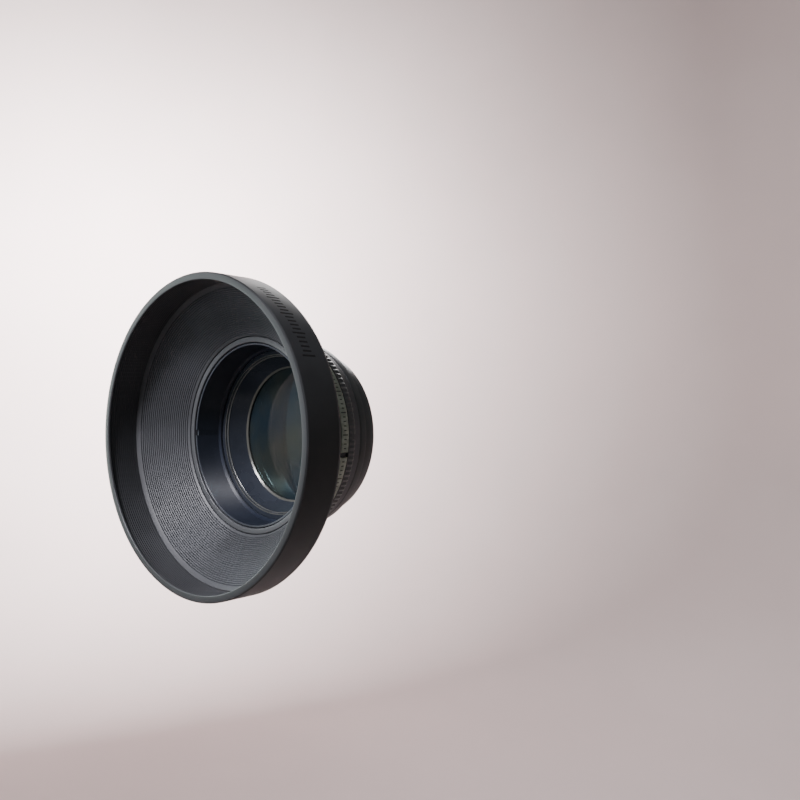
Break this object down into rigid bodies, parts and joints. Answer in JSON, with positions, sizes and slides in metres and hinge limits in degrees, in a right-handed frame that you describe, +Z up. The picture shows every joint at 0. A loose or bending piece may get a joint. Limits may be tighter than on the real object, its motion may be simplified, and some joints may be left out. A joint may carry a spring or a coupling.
{
  "type": "lens hood",
  "caption": "Wide round dish-shaped lens hood with a grooved inner cone, a threaded throat that holds a round filter, and a slotted collar with a screw clamp for the lens.",
  "frame": {"origin": "centre of the ring on the adapter that the front edge of the lens seats against", "axes": "+Y rearwards along the optical axis, the way the lens is pulled out; the hood looks along -Y; +Z up; +X to the right seen from behind the camera, so the clamp ears are on the -X side"},
  "size_m": [0.15, 0.0787, 0.15],
  "materials": {
    "black_metal": "satin black enamel, worn to pale metal on the edges",
    "black_small": "satin black",
    "grey_ring": "dull grey-green anodised",
    "steel": "brushed",
    "glass": "polished neutral grey",
    "rubber": "matt",
    "felt": "napped"
  },
  "bodies": {
    "hood": {"front_band": "black_metal", "cone_dish": "black_metal", "filter_barrel": "black_metal", "filter_gasket": "rubber", "lens_adapter": "black_metal", "adapter_screw_1": "steel", "adapter_screw_2": "steel", "adapter_screw_3": "steel", "adapter_screw_4": "steel", "collar_felt": "felt", "clamp_band": "black_small", "clamp_nut": "steel"},
    "filter": {"filter_rim": "black_metal", "filter_glass": "glass", "filter_retainer": "black_small"},
    "sleeve": {"retaining_sleeve": "black_metal"},
    "ring_washer": {"lock_washer": "steel"},
    "ring": {"lock_ring": "black_metal", "scale_band": "grey_ring"},
    "screw_washer": {"clamp_washer": "steel"},
    "thumbscrew": {"clamp_screw": "steel", "clamp_knob": "black_small"}
  },
  "joints": [
    {"name": "filter_slide", "type": "slide", "parent": "hood", "child": "filter", "axis": [0, -1, 0], "range_m": [0, 0.00401]},
    {"name": "sleeve_turn", "type": "hinge", "parent": "filter", "child": "sleeve", "pos_m": [0, -0.024, 0], "axis": [0, -1, 0], "range_deg": [0, 1440]},
    {"name": "lock_washer_slide", "type": "slide", "parent": "hood", "child": "ring_washer", "axis": [0, 1, 0], "range_m": [0, 0.00301]},
    {"name": "lock_ring_turn", "type": "hinge", "parent": "ring_washer", "child": "ring", "pos_m": [0, -0.018, 0], "axis": [0, 1, 0], "range_deg": [0, 1080]},
    {"name": "clamp_washer_slide", "type": "slide", "parent": "hood", "child": "screw_washer", "axis": [0, 0, 1], "range_m": [0, 0.00211]},
    {"name": "clamp_screw_turn", "type": "hinge", "parent": "screw_washer", "child": "thumbscrew", "pos_m": [-0.049, 0.00675, 0], "axis": [0, 0, 1], "range_deg": [0, 1080]}
  ],
  "couplings": [
    {"joint": "filter_slide", "follows": "sleeve_turn", "m_per_rad": 0.00015915},
    {"joint": "lock_washer_slide", "follows": "lock_ring_turn", "m_per_rad": 0.00015915},
    {"joint": "clamp_washer_slide", "follows": "clamp_screw_turn", "m_per_rad": 0.00011141}
  ]
}
